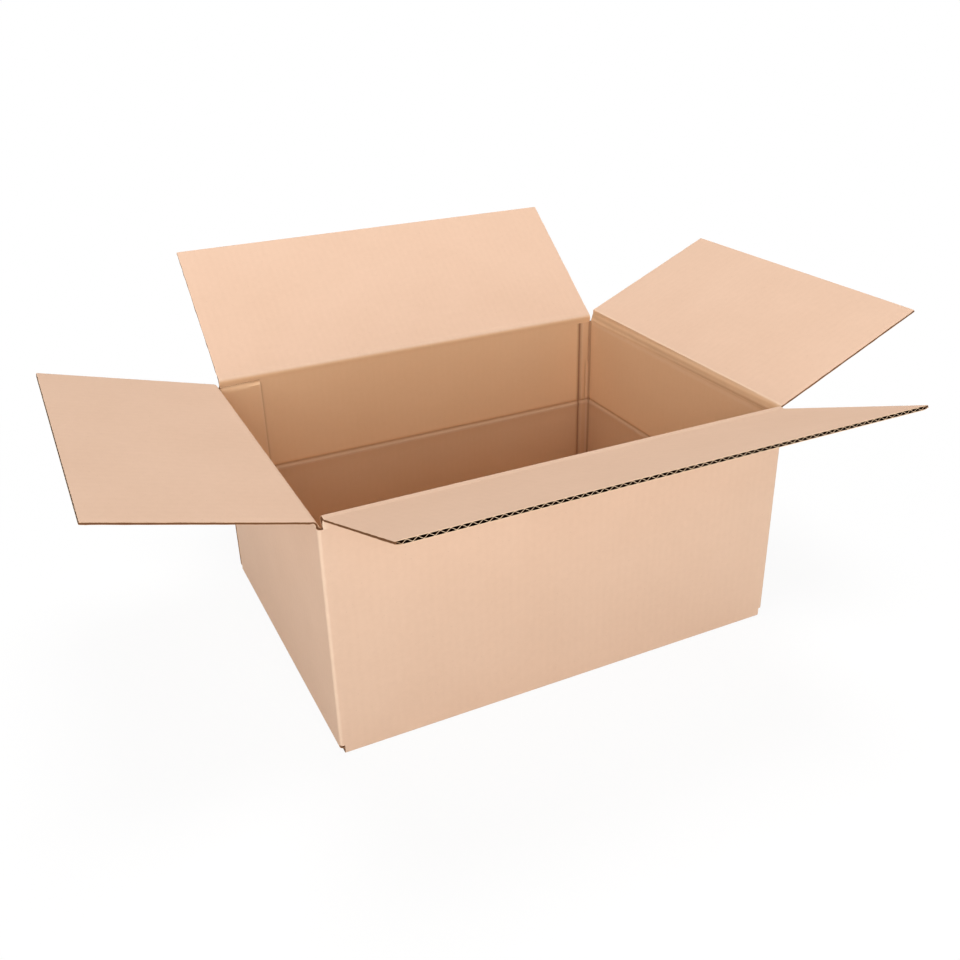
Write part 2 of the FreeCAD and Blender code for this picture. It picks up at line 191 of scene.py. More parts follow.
SCORE_SHADE = 0.6
CORNER_BAND_SHADE = 0.14
GROOVE_SHADE = 0.3
LIP_HIGHLIGHT = 0.3
LOWER_SHADE = 0.3
LOWER_INNER_SHADE = 0.65
UPPER_INNER_SHADE = 0.78
INNER_SHADE_FADE = 2.0

# Textures, on a sheet measured in metres. A texture is its scale, detail and roughness, a
# stretch its scales across and along the sheet, and a bump its strength and height.
BLOTCH = (16.0, 4.0, 0.55)
BLOTCH_SWING = 0.18
MOTTLE = (170.0, 3.0, 0.6)
MOTTLE_SWING = 0.16
FIBRE = (1.0, 5.0, 0.65)
FIBRE_STRETCH = (350.0, 1500.0)
FIBRE_SWING = 0.12
RIDGE_SWING = 0.018
PLAIN_LEVEL = 0.75
SPECK_SCALE = 160.0
SPECK_SIZE = 0.07
SPECK_SHARE = 0.14
# Painted shade: the inside's faces are mixed towards a warmer, browner tone, and the marked shade towards
# a dark brown.
INNER_SHADE_SHARE = 0.5
SHADE_SHARE = 0.75
SPECK_TONE = (150, 108, 76)
INNER_SHADE_TONE = (237, 190, 126)
SHADE_TONE = (120, 74, 50)
# The rub mix pales the folds' crests, the lips and the bead: wear with painted highlight.
RUB_AND_HIGHLIGHT_RANGE = (0.3, 1.1)
KRAFT_ROUGHNESS = (0.72, 0.9)
KRAFT_SHINE = 0.25
FIBRE_RELIEF = 0.35
RIDGE_RELIEF = 0.3
KRAFT_BUMP = (0.4, 0.00004)
GRAIN = (900.0, 4.0, 0.7)
RAW_ROUGHNESS = (0.8, 0.95)
RAW_BUMP = (0.6, 0.0001)
STREAK = (1.0, 4.0, 0.6)
STREAK_STRETCH = (6.0, 700.0)
TAPE_ROUGHNESS = (0.22, 0.34)
TAPE_BUMP = (0.3, 0.0001)

# The studio, in metres and watts. A lamp is its name, place, power and size.
FLOOR_HALF = 30.0
FLOOR_ROUGHNESS = 0.9
FLOOR_SHINE = 0.1
FLOOR_BOUNCE = (0.8, 0.8, 0.8, 1)
WHITE = (1, 1, 1, 1)
SHADOW_NEAR = 0.3
SHADOW_FAR = 0.8
SHADOW_TRACE = 0.07
WORLD_LIGHT = 0.2
LAMPS = (
    ("top_lamp", (0.3, 0.15, 3.2), 66.0, 1.3),
    ("front_lamp", (-0.5, -3.2, 1.0), 64.0, 2.0),
    ("left_lamp", (-3.2, -0.6, 0.8), 40.0, 2.0),
)
LAMP_TARGET = Vector((0, 0, 0.12))

CAMERA_PLACE = Vector((-357.337, -736.024, 527.897))
CAMERA_ELEVATION = -26.539
CAMERA_AZIMUTH = 25.455
CAMERA_ROLL = -1.449
CAMERA_LENS = 38.17
CAMERA_SENSOR = 36.0


def clamped(x):
    return min(max(x, 0.0), 1.0)


def ease(x):
    """A smooth step from 0 to 1 as x goes from 0 to 1."""
    x = clamped(x)
    return x * x * (3 - 2 * x)


def bump(x):
    """A smooth rise that is 1 at 0 and 0 from 1 outwards."""
    return ease(1 - abs(x))


def between(a, b, share):
    return a + (b - a) * share


def mark(kind, place):
    """How strongly a mark shows at a place."""
    strength, middle, half_width = kind
    return strength * bump((place - middle) / half_width)


def ruled(*stretches):
    """Places along a line, from stretches of (start, step). The last stretch only ends the line."""
    places = []
    for (start, step), (stop, _) in zip(stretches, stretches[1:]):
        count = max(1, round((stop - start) / step))
        places += [between(start, stop, k / count) for k in range(count)]
    return places + [stretches[-1][0]]


class Panel:
    """A stretch of the folded sheet: its place in s, its directions and its bottom crease."""

    def __init__(self, side, start, length, origin, run, foot):
        self.side = side
        self.start = start
        self.end = start + length
        self.origin = origin
        self.run = run
        self.out = run.cross(UP)
        self.foot = foot

    def share_along(self, s):
        return (s - self.start) / (self.end - self.start)

    def point(self, s, inward, z):
        return self.origin + self.run * (s - self.start) - self.out * inward + UP * z


class Wall(Panel):
    """One of the four walls, with the fold of its top flap."""

    def __init__(self, side, start):
        joint = next(j for j in frame["joints"] if j["child"] == side)
        low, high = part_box("box_body")
        hinge = Vector(joint["pos_m"]) / MM
        run = -Vector(joint["axis"])
        out = run.cross(UP)
        length = abs(run.dot(high - low)) / MM
        reach = abs(out.dot(high)) / MM
        origin = out * reach - run * length / 2
        super().__init__(side, start, length, origin, run, TOP_CREASE - hinge.z)
        self.crease = hinge.z
        self.axis_gap = out.dot(hinge) - reach
        self.rise = math.radians(180 - joint["range_deg"][1])
        self.turn = math.pi / 2 - self.rise


LEFT = Wall("left", 0)
FRONT = Wall("front", LEFT.end)
RIGHT = Wall("right", FRONT.end)
BACK = Wall("back", RIGHT.end)
WALLS = (LEFT, FRONT, RIGHT, BACK)
TAB = Panel(
    "tab",
    BOARD - TAB_REACH,
    TAB_REACH,
    LEFT.point(BOARD, 0, 0) - BACK.run * TAB_REACH,
    BACK.run,
    LEFT.foot,
)
SLEEVE = (TAB, *WALLS)
SHEET_END = BACK.end
# A painted shadow line lies on the back wall beside the tab's free edge, here.
TAB_SHADE = SHEET_END - TAB_REACH - TAB_SHADE_GAP


def panel_at(s):
    return next((panel for panel in SLEEVE if s < panel.end), BACK)


def square_fold(past, inset, radius):
    """Follow one face of the board round a square fold, past beyond the fold's sharp corner.

    Gives the distances along the first leg and along the second. inset is the face's
    distance from the outer face, and radius is that face's own bend.
    """
    zone = inset + radius
    if past <= -zone:
        return past, inset
    if past >= zone:
        return -inset, past
    angle = (past / zone + 1) * math.pi / 4
    return radius * math.sin(angle) - zone, zone - radius * math.cos(angle)


def wall_bow(s, h):
    """How far a wall bows in, in its middle, where nothing holds it flat."""
    panel = panel_at(s)
    if panel is TAB:
        return 0.0
    from_side = min(s - panel.start, panel.end - s) - BOW_MARGIN
    from_end = min(h, SLOT_HEAD - h)
    free = ease(from_side / BOW_GROWTH) * ease(from_end / BOW_GROWTH)
    wave = noise.noise(Vector((s, h, 0)) / BOW_LENGTH)
    return WALL_BOW * free * (1 + wave)


def tab_height(s, h):
    """The tab closes in towards its free end at the bottom, and stands a little taller at the top."""
    out = (TAB.end - s) / TAB_REACH
    middle = SCORE_HEIGHT
    if h > middle:
        return between(h, middle + (h - middle) * (TAB_TOP - middle) / (SLOT_HEAD - middle), out)
    return between(h, middle + (h - middle) * (1 - TAB_TAPER / (middle - SLOT_FOOT)), out)


def wrinkle_place(h):
    """Where the wrinkle runs. It steps towards the back right corner on its way up."""
    return between(WRINKLE, WRINKLE_TOP, ease((h - WRINKLE_STEP) / WRINKLE_STEP_HEIGHT))


def inner_relief(s, h):
    """How deep the scores and the wrinkle are pressed into the inner face, and the score's bead."""
    if h < SLOT_FOOT:
        return 0.0
    beyond = s - BACK.start
    score = SCORE_DEPTH * clamped(1 - abs(h - SCORE_HEIGHT) / SCORE_HALF_WIDTH)
    bead = SCORE_BEAD * bump((h - SCORE_HEIGHT + BEAD_DROP) / BEAD_HALF_WIDTH)
    upright = SCORE_DEPTH * clamped(1 - abs(beyond - CORNER_SCORE) / CORNER_SCORE_HALF_WIDTH)
    wrinkle = WRINKLE_DEPTH * clamped(1 - abs(beyond - wrinkle_place(h)) / WRINKLE_HALF_WIDTH)
    wrinkle *= ease((h - SCORE_HEIGHT) / SCORE_HALF_WIDTH)
    return max(score, upright, wrinkle) - bead


def tape_box():
    low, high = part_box("bottom_tape")
    return low / MM, high / MM


def tape_recess(panel, s, inward):
    """The outer bottom flaps are pressed in a little under the tape."""
    _, high = tape_box()
    across = abs(panel.point(s, inward, 0).y) - high.y - TAPE_MARGIN
    return TAPE_RECESS * ease(1 - across)


def sleeve_point(s, h, depth):
    """Where a point of the walls or of the bottom flaps lies in the folded box."""
    panel = panel_at(s)
    share = depth / BOARD
    thickness = between(TAB_THICKNESS, BOARD, ease((s - BOARD) / TAB_BLEND))
    if panel is TAB:
        h = tab_height(s, h)
        flat = ease((h - TAB_FLAT_TOP) / TAB_FLAT_FADE + 1) * ease((panel.end - s) / TAB_BLEND)
        thickness = between(thickness, TAB_FLAT_THICKNESS, flat)
    inset = share * thickness + wall_bow(s, h)
    if depth == BOARD:
        inset -= inner_relief(s, h)
    radius = between(OUTER_RADIUS, INNER_RADIUS, share)
    past = panel.foot - h
    down, inward = square_fold(past, inset, radius)
    z = panel.foot - down
    if past > -inset - radius:
        if depth == 0 and panel.foot == 0 and past > OUTER_RADIUS:
            z += tape_recess(panel, s, inward)
        return panel.point(s, inward, z)
    for before, after in zip(SLEEVE, WALLS):
        if abs(s - before.end) < inset + radius:
            corner = before.point(before.end, 0, 0)
            on, across = square_fold(s - before.end, inset, radius)
            return corner + before.run * on + after.run * across + UP * z
    return panel.point(s, inward, z)


class FlapShape:
    """How one top flap's crease and plane differ from a plain fold.

    The fold runs from below the hinge to above it. press thins the board at the crease and
    swell thickens it. root and tip say how far the flap stands above its plain plane at the
    crease and at the free edge, each at the crease's start and at its end.
    """

    def __init__(self, below, above, press=0.0, swell=0.0, root=(0.0, 0.0), tip=(0.0, 0.0)):
        self.below = below
        self.above = above
        self.press = press
        self.swell = swell
        self.root = root
        self.tip = tip
        self.raised = max(root) > 0

    def lift(self, along, past):
        """How far the faces stand above the plain plane. along runs from 0 to 1 on the crease."""
        root, tip = between(*self.root, along), between(*self.tip, along)
        plane = between(root, tip, clamped(past / FLAP_DEPTH))
        return min(plane, max(0.0, STEP_SLOPE * (past - STEP_START)))

    def step_end(self, along):
        """How far past the hinge the step ends and the flap's plane begins."""
        return STEP_START + between(*self.root, along) / STEP_SLOPE if self.raised else 0.0

    def drop(self, along, past):
        """How far below the crease's upper edge a place on the step or on the wall under it lies."""
        if past > self.step_end(along):
            return 0.0
        below = max(0.0, -past) + between(*self.root, along) - self.lift(along, past)
        return below + EDGE_WANDER * noise.noise(Vector((along * EDGE_WAVES, 0, 0)))

    def groove(self, along, past):
        """How strongly the pressed line under a raised crease shows."""
        off = self.drop(along, past) - GROOVE_DROP
        return bump(off / GROOVE_HALF_WIDTH) if self.raised else 0.0

    def lip(self, along, past):
        """How strongly the painted highlight on the lip under the pressed line shows."""
        off = self.drop(along, past) - LIP_DROP
        return bump(off / LIP_HALF_WIDTH) if self.raised else 0.0


FLAPS = {
    "left": FlapShape(below=1.8, above=4.5, press=1.3),
    "front": FlapShape(below=3.8, above=4.2, swell=2.0),
    "right": FlapShape(below=1.6, above=2.4, root=(3.6, 7.2), tip=(0.0, 2.7)),
    "back": FlapShape(below=4.0, above=5.0),
}


def flap_point(wall, s, h, depth):
    """Where a point of a top flap, or of the wall's top edge that it hangs on, lies at rest."""
    shape = FLAPS[wall.side]
    past = h - wall.crease
    folded = ease((past + shape.below) / (shape.below + shape.above))
    crest = 4 * folded * (1 - folded)
    thickness = BOARD + shape.swell * crest - shape.press * bump(past / PRESS_WIDTH)
    turned = Matrix.Rotation(wall.turn * folded, 2)
    along = wall.share_along(s)
    if depth == BOARD:
        thickness -= GROOVE_DEPTH * shape.groove(along, past)
    beside = min(s - wall.start, wall.end - s) - HALF_SLOT
    pinch = SIDE_PINCH * bump(beside / PINCH_WIDTH) * ease(past / PINCH_START)
    through = between(depth / BOARD, PINCH_DEPTH, pinch)
    flat = Vector((-wall.axis_gap - through * thickness, past))
    rest = flat @ turned
    rest -= Vector((1, 0)) @ turned * shape.lift(along, past)
    torn = noise.noise(Vector((past / RAGGED_WAVE, depth, wall.start)))
    inward = 1 if along < 0.5 else -1
    s += inward * RAGGED * (torn + 1) / 2 * bump(beside / RAGGED_WIDTH)
    return wall.point(s, -wall.axis_gap - rest.x, wall.crease + rest.y)


class BoardMesh:
    """A piece of board under construction, with each point's place in the flat sheet."""

    def __init__(self, name):
        self.name = name
        self.mesh = bmesh.new()
        # Each point carries its wear with painted highlight, its painted shade and its painted inner
        # shade.
        self.wear_and_highlight = self.mesh.verts.layers.float.new("wear_and_highlight")
        self.painted_shade = self.mesh.verts.layers.float.new("painted_shade")
        self.inner_shade = self.mesh.verts.layers.float.new("inner_shade")
        self.flat = {}

    def vertex(self, place, s, h, wear_and_highlight=0.0, painted_shade=0.0, inner_shade=0.0):
        vertex = self.mesh.verts.new(place * MM)
        vertex[self.wear_and_highlight] = wear_and_highlight
        vertex[self.painted_shade] = painted_shade
        vertex[self.inner_shade] = inner_shade
        self.flat[vertex] = (s * MM, h * MM)
        return vertex

    def face(self, vertices, material):
        self.mesh.faces.new(vertices).material_index = material

    def add_sheet(self, columns, rows, hollow, point, marks):
        """Both facings, open to the flutes where hollow. Where that is None there is no board."""
        made = {}

        def corner(i, j, layer):
            if (i, j, layer) not in made:
                s, h, depth = columns[i], rows[j], LAYERS[layer]
                made[i, j, layer] = self.vertex(point(s, h, depth), s, h, *marks(s, h, depth))
            return made[i, j, layer]

        cells = {
            (i, j): hollow((columns[i] + columns[i + 1]) / 2, (rows[j] + rows[j + 1]) / 2)
            for i in range(len(columns) - 1)
            for j in range(len(rows) - 1)
        }
        for (i, j), open_cell in cells.items():
            if open_cell is None:
                continue
            ring = [(i, j), (i + 1, j), (i + 1, j + 1), (i, j + 1)]
            faces = [(0, OUTSIDE), (3, INSIDE)]
            if open_cell:
                faces += [(1, CORE), (2, CORE)]
            for layer, material in faces:
                self.face([corner(*spot, layer) for spot in ring], material)
            neighbours = [(i, j - 1), (i + 1, j), (i, j + 1), (i - 1, j)]
            for a, b, neighbour in zip(ring, ring[1:] + ring[:1], neighbours):
                beside = cells.get(neighbour)
                strips = []
                if beside is None:
                    strips = [(0, RIM), (2, RIM)]
                if not open_cell and (beside is None or beside):
                    strips.append((1, CORE))
                for layer, material in strips:
                    lower = [corner(*a, layer), corner(*b, layer)]
                    upper = [corner(*b, layer + 1), corner(*a, layer + 1)]
                    self.face(lower + upper, material)

    def add_medium(self, columns, rows, point):
        """The fluted paper between the facings, from column to column along the crease."""
        swing = (BOARD - 2 * LINER - MEDIUM) / 2 + GLUE_LINE
        grid = []
        for s in columns:
            wave = math.asin(FLUTE_SHARPNESS * math.sin(math.tau * s / FLUTE_PITCH))
            middle = BOARD / 2 + swing * wave / math.asin(FLUTE_SHARPNESS)
            depths = (middle - MEDIUM / 2, middle + MEDIUM / 2)
            # Beside the cuts the medium takes less of its painted shade.
            beside = bump(min(s - columns[0], columns[-1] - s) / FLUTE_PITCH)
            column = [[self.vertex(point(s, h, depth), s, h, beside) for depth in depths] for h in rows]
            grid.append(column)
        last_column, last_row = len(columns) - 1, len(rows) - 1
        for i in range(last_column):
            for j in range(last_row):
                ring = [grid[i][j], grid[i + 1][j], grid[i + 1][j + 1], grid[i][j + 1]]
                for side in (0, 1):
                    self.face([pair[side] for pair in ring], CORE)
        for i in range(last_column):
            for j in (0, last_row):
                self.face([*grid[i][j], *reversed(grid[i + 1][j])], RIM)
        for j in range(last_row):
            for i in (0, last_column):
                self.face([*grid[i][j], *reversed(grid[i][j + 1])], CORE)

    def finish(self, materials):
        """The finished object, smooth but for its cut edges, with the flat sheet as its UV map."""
        bmesh.ops.recalc_face_normals(self.mesh, faces=self.mesh.faces)
        layout = self.mesh.loops.layers.uv.new("sheet")
        for face in self.mesh.faces:
            face.smooth = True
            for loop in face.loops:
                loop[layout].uv = self.flat[loop.vert]
        data = bpy.data.meshes.new(self.name)
        self.mesh.to_mesh(data)
        self.mesh.free()
        data.set_sharp_from_angle(angle=math.radians(SHARP_ANGLE))
        for material in materials:
            data.materials.append(material)
        piece = bpy.data.objects.new(self.name, data)
        bpy.context.scene.collection.objects.link(piece)
        return piece


def flute_columns(start, end):
    step = FLUTE_PITCH / FLUTE_STEPS
    return ruled((start, step), (end, step))


def sleeve_columns():
    """Fine columns round each fold and at both ends of the sheet, and wider ones between."""
    stretches = [(TAB.start, END_STEP), (TAB.start + END_ZONE, TAB_STEP)]
    for before in SLEEVE[:-1]:
        stretches += [
            (before.end - FOLD_ZONE, EASY_STEP),
            (before.end - HALF_SLOT, FOLD_STEP),
            (before.end + HALF_SLOT, MARK_STEP),
            (before.end + FOLD_ZONE, PLAIN_STEP),
        ]
    score = BACK.start + CORNER_SCORE
    stretches += [
        (score - CORNER_SCORE_HALF_WIDTH, SCORE_STEP),
        (score + CORNER_SCORE_HALF_WIDTH, EASY_STEP),
        (score + MARGIN, PLAIN_STEP),
        (TAB_SHADE - END_ZONE, SHADE_STEP),
        (TAB_SHADE + END_ZONE, PLAIN_STEP),
        (SHEET_END - HALF_SLOT, RAW_END_STEP),
        (SHEET_END - RAW_END_GROOVE, SHADE_STEP),
        (SHEET_END, END_STEP),
    ]
    return ruled(*stretches)


def sleeve_rows():
    """Rows from the bottom flaps' free edges, round the bottom creases and up the walls."""
    free = -FLAP_DEPTH + EDGE_TRIM
    fold_start, fold_end = FOOT_ZONE
    return ruled(
        (free, LEFT.foot),
        (free + LEFT.foot, FREE_STEP),
        (free + BOTTOM_CORE, WIDE_STEP),
        (-MARGIN, END_STEP),
        (fold_start, SCORE_STEP),
        (fold_end, SLOT_STEP),
        (SLOT_FOOT, RISE_STEP),
        (RISE_END, HIGH_STEP),
        (SCORE_HEIGHT - MARGIN, EASY_STEP),
        (SCORE_HEIGHT - SCORE_HALF_WIDTH, MARK_STEP),
        (SCORE_HEIGHT + SCORE_HALF_WIDTH, EASY_STEP),
        (SCORE_HEIGHT + MARGIN, HIGH_STEP),
        (SLOT_HEAD - MARGIN, EASY_STEP),
        (SLOT_HEAD, END_STEP),
    )


def in_sleeve(s, h):
    """Whether the blank has board at this place, below the top slots."""
    panel = panel_at(s)
    if h > SLOT_FOOT:
        return True
    if panel is TAB:
        return False
    beside_slot = panel.start + HALF_SLOT < s < panel.end - HALF_SLOT
    return beside_slot and h > panel.foot - FLAP_DEPTH


def sleeve_hollow(s, h):
    """The flutes are open along the bottom flaps' free edges and at the sheet's raw end."""
    if not in_sleeve(s, h):
        return None
    return s > SHEET_END - RAW_END_GROOVE or h < -FLAP_DEPTH + BOTTOM_CORE


def sleeve_marks(s, h, depth):
    """How much wear and painted highlight, painted shade and painted inner shade the paper has at this
    place.
    """
    panel = panel_at(s)
    nearest = min(abs(s - before.end) for before in SLEEVE[:-1])
    if depth == 0:
        # Outer folds: wear with a painted highlight on the crest.
        return mark(FOLD_RUB_AND_HIGHLIGHT, min(nearest, abs(h - panel.foot))), 0.0, 0.0
    if depth < BOARD:
        return 1.0, 0.0, 0.0
    relief = inner_relief(s, h)
    beyond = s - BACK.start
    # Painted highlights on the bead and the lips; painted shade in corners, scores, the groove, beside
    # the tab and lower down.
    pale = [BEAD_HIGHLIGHT * clamped(-relief / SCORE_BEAD)]
    shaded = [mark(CORNER_SHADE_LINE, nearest), SCORE_SHADE * clamped(relief / SCORE_DEPTH)]
    if panel is BACK:
        pale += [mark(UPRIGHT_LIP_HIGHLIGHT, beyond), mark(WRINKLE_LIP_HIGHLIGHT, beyond) * (h < WRINKLE_STEP)]
        shaded += [mark(UPRIGHT_SHADE_LINE, beyond), CORNER_BAND_SHADE * (beyond < CORNER_SCORE)]
    if abs(beyond) < DEEP_CORNER_REACH:
        shaded.append(mark(DEEP_CORNER_SHADE_LINE, nearest))
    if panel is TAB:
        pale.append(mark(TAB_EDGE_RUB, s - TAB.start))
        shaded.append(mark(TAB_TOP_SHADE_LINE, h))
    if h < TAB_FLAT_TOP:
        shaded.append(mark(TAB_SHADE_LINE, s - TAB_SHADE))
    if panel is RIGHT and h > SCORE_HEIGHT:
        spot = RIGHT.share_along(s), h - RIGHT.crease
        pale.append(LIP_HIGHLIGHT * FLAPS["right"].lip(*spot))
        shaded.append(GROOVE_SHADE * FLAPS["right"].groove(*spot))
    # Lower down the paper takes more painted shade, with a little less of the painted inner tone.
    upper = ease((h - SCORE_HEIGHT) / SCORE_HALF_WIDTH + 0.5)
    shaded.append(LOWER_SHADE * (1 - upper))
    return max(pale), max(shaded), between(LOWER_INNER_SHADE, UPPER_INNER_SHADE, upper)


def make_sleeve(materials):
    """The four walls, the glue tab and the closed bottom flaps, which are one folded sheet."""
    board = BoardMesh("folded_sleeve")
    board.add_sheet(sleeve_columns(), sleeve_rows(), sleeve_hollow, sleeve_point, sleeve_marks)
    inset = HALF_SLOT + MEDIUM_INSET
    for wall in WALLS:
        free = wall.foot - FLAP_DEPTH + EDGE_TRIM
        columns = flute_columns(wall.start + inset, wall.end - inset)
        rows = ruled((free, WIDE_STEP), (-FLAP_DEPTH + BOTTOM_CORE + MEDIUM_LAP, WIDE_STEP))
        board.add_medium(columns, rows, sleeve_point)
    piece = board.finish(materials)
    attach(piece, "box")
    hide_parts("box_body")


def flap_marks(wall, s, h, depth):
    """A crest with wear and a painted highlight, a painted highlight on the lip and painted shade in the
    groove. The painted inner shade ends where the flap's plane begins.
    """
    if depth < BOARD:
        beside = min(s - wall.start, wall.end - s) - HALF_SLOT
        return bump(beside / FLUTE_PITCH), 0.0, 0.0
    shape = FLAPS[wall.side]
    spot = wall.share_along(s), h - wall.crease
    beyond = h - wall.crease - shape.step_end(wall.share_along(s))
    pale = mark(CREASE_RUB_AND_HIGHLIGHT, beyond) + LIP_HIGHLIGHT * shape.lip(*spot)
    inner_shade = 1 - ease(beyond / INNER_SHADE_FADE + 0.5)
    return pale, GROOVE_SHADE * shape.groove(*spot), UPPER_INNER_SHADE * inner_shade


def make_flap(wall, materials):
    """A top flap with its crease, hung on the wall's top edge."""
    board = BoardMesh(wall.side + "_flap_board")
    low, high = wall.start + HALF_SLOT, wall.end - HALF_SLOT
    core = wall.crease + CORE_START
    free = wall.crease + FLAP_DEPTH
    columns = ruled(
        (low, MARK_STEP),
        (low + SIDE_GROOVE, EASY_STEP),
        (low + SIDE_ZONE, FLAP_STEP),
        (high - SIDE_ZONE, EASY_STEP),
        (high - SIDE_GROOVE, MARK_STEP),
        (high, MARK_STEP),
    )
    rows = ruled(
        (SLOT_HEAD, FOLD_STEP),
        (wall.crease + CREASE_ZONE, MARK_STEP),
        (wall.crease + CREASE_ZONE + FOLD_STEP, FLAP_STEP),
        (free - MARGIN, EASY_STEP),
        (free, EASY_STEP),
    )

    def hollow(s, h):
        return h > core and low + SIDE_GROOVE < s < high - SIDE_GROOVE

    def point(s, h, depth):
        return flap_point(wall, s, h, depth)

    def marks(s, h, depth):
        return flap_marks(wall, s, h, depth)

    board.add_sheet(columns, rows, hollow, point, marks)
    wave = flute_columns(low + SIDE_GROOVE, high - SIDE_GROOVE)
    tunnel = ruled(
        (core - MEDIUM_LAP, RISE_STEP),
        (core + MARGIN, MEDIUM_STEP),
        (free - EDGE_TRIM, MEDIUM_STEP),
    )
    board.add_medium(wave, tunnel, point)
    piece = board.finish(materials)
    hinge = wall.point((wall.start + wall.end) / 2, -wall.axis_gap, wall.crease)
    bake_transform(piece)
    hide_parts(wall.side + "_flap")


class Shader:
    """A material's node tree, with short ways to add and join nodes."""

    def __init__(self, name):
        self.material = bpy.data.materials.new(name)
        self.material.use_nodes = True
        self.tree = self.material.node_tree
        self.surface = self.tree.nodes["Principled BSDF"]
        self.output = self.tree.nodes["Material Output"]

    def node(self, kind, settings=None, **inputs):
        """Add a node, set its properties and set or join its inputs."""
        node = self.tree.nodes.new("ShaderNode" + kind)
        for name, value in (settings or {}).items():
            setattr(node, name, value)
        for name, value in inputs.items():
            self.feed(node, name.replace("_", " "), value)
        return node

    def join(self, socket, value):
        """Set an input, or link it where the value is another node's output."""
        if isinstance(value, bpy.types.NodeSocket):
            self.tree.links.new(value, socket)
        else:
            socket.default_value = value

    def feed(self, node, name, value):
        self.join(node.inputs[name], value)

    def math(self, operation, a, b=0.0):
        node = self.tree.nodes.new("ShaderNodeMath")
        node.operation = operation
        for socket, value in zip(node.inputs, (a, b)):
            self.join(socket, value)
        return node.outputs[0]

    def spread(self, value, low, high):
        """Stretch a 0 to 1 value to run from low to high."""
        node = self.node("MapRange", None, Value=value)
        node.inputs["To Min"].default_value = low
        node.inputs["To Max"].default_value = high
        return node.outputs["Result"]

    def mix(self, share, a, b):
        node = self.tree.nodes.new("ShaderNodeMix")
        node.data_type = "RGBA"
        for socket, value in zip((node.inputs[0], node.inputs[6], node.inputs[7]), (share, a, b)):
            self.join(socket, value)
        return node.outputs[2]

    def noise(self, place, scale, detail, roughness):
        made = self.node("TexNoise", None, Vector=place, Scale=scale, Detail=detail, Roughness=roughness)
        return made.outputs["Fac"]

    def stretched(self, place, across, along):
        """The sheet's coordinates, scaled apart to draw out a texture."""
        node = self.node("Mapping", None, Vector=place)
        node.inputs["Scale"].default_value = (across, along, 1)
        return node.outputs["Vector"]

    def painted(self, name):
        """A value that the mesh carries at each of its points."""
        return self.node("Attribute", {"attribute_name": name}).outputs["Fac"]

    def bumped(self, height, strength, distance):
        """Shade the surface as if it rose with height."""
        relief = self.node("Bump", None, Height=height, Strength=strength, Distance=distance)
        self.feed(self.surface, "Normal", relief.outputs["Normal"])


def seen(red, green, blue):
    """A colour as seen on screen, 0 to 255, as the linear values that a shader takes."""
    def linear(level):
        level /= 255
        return level / 12.92 if level <= 0.04045 else ((level + 0.055) / 1.055) ** 2.4
    return (linear(red), linear(green), linear(blue), 1.0)


def kraft(name, plain, deep, pale):
    """Kraft liner: blotches, fibres, specks and a trace of the flutes beneath."""
    shader = Shader(name)
    sheet = shader.node("UVMap", {"uv_map": "sheet"}).outputs["UV"]
    blotch = shader.noise(sheet, *BLOTCH)
    mottle = shader.noise(sheet, *MOTTLE)
    fibre = shader.noise(shader.stretched(sheet, *FIBRE_STRETCH), *FIBRE)
    speck = shader.node("TexVoronoi", None, Vector=sheet, Scale=SPECK_SCALE).outputs["Distance"]
    speck = shader.math("LESS_THAN", speck, SPECK_SIZE)
    across = shader.node("SeparateXYZ", None, Vector=sheet).outputs["X"]
    ridge = shader.math("SINE", shader.math("MULTIPLY", across, math.tau / (FLUTE_PITCH * MM)))
    tone = shader.spread(blotch, -BLOTCH_SWING, BLOTCH_SWING)
    tone = shader.math("ADD", tone, shader.spread(mottle, -MOTTLE_SWING, MOTTLE_SWING))
    tone = shader.math("ADD", tone, shader.spread(fibre, -FIBRE_SWING, FIBRE_SWING))
    tone = shader.math("ADD", tone, shader.math("MULTIPLY", ridge, RIDGE_SWING))
    tone = shader.math("ADD", tone, PLAIN_LEVEL)
    colour = shader.mix(tone, deep, plain)
    colour = shader.mix(shader.math("MULTIPLY", speck, SPECK_SHARE), colour, seen(*SPECK_TONE))
    # Painted shade: the inside of the box is mixed towards a warmer, browner tone.
    inner_shade = shader.math("MULTIPLY", shader.painted("inner_shade"), INNER_SHADE_SHARE)
    colour = shader.mix(inner_shade, colour, seen(*INNER_SHADE_TONE))
    # Wear, with painted highlights on crests, lips and the score's bead.
    rub_and_highlight = shader.math("MULTIPLY", shader.painted("wear_and_highlight"), shader.spread(mottle, *RUB_AND_HIGHLIGHT_RANGE))
    colour = shader.mix(rub_and_highlight, colour, pale)
    # Painted shade: corners, scores, grooves, the tab's edges and the lower inside are mixed towards a
    # dark brown.
    painted_shade = shader.math("MULTIPLY", shader.painted("painted_shade"), SHADE_SHARE)
    colour = shader.mix(painted_shade, colour, seen(*SHADE_TONE))
    shader.feed(shader.surface, "Base Color", colour)
    shader.feed(shader.surface, "Roughness", shader.spread(mottle, *KRAFT_ROUGHNESS))
    shader.feed(shader.surface, "Specular IOR Level", KRAFT_SHINE)
    fibres = shader.math("MULTIPLY", fibre, FIBRE_RELIEF)
    ridges = shader.math("MULTIPLY", ridge, RIDGE_RELIEF)
    shader.bumped(shader.math("ADD", fibres, ridges), *KRAFT_BUMP)
    return shader.material


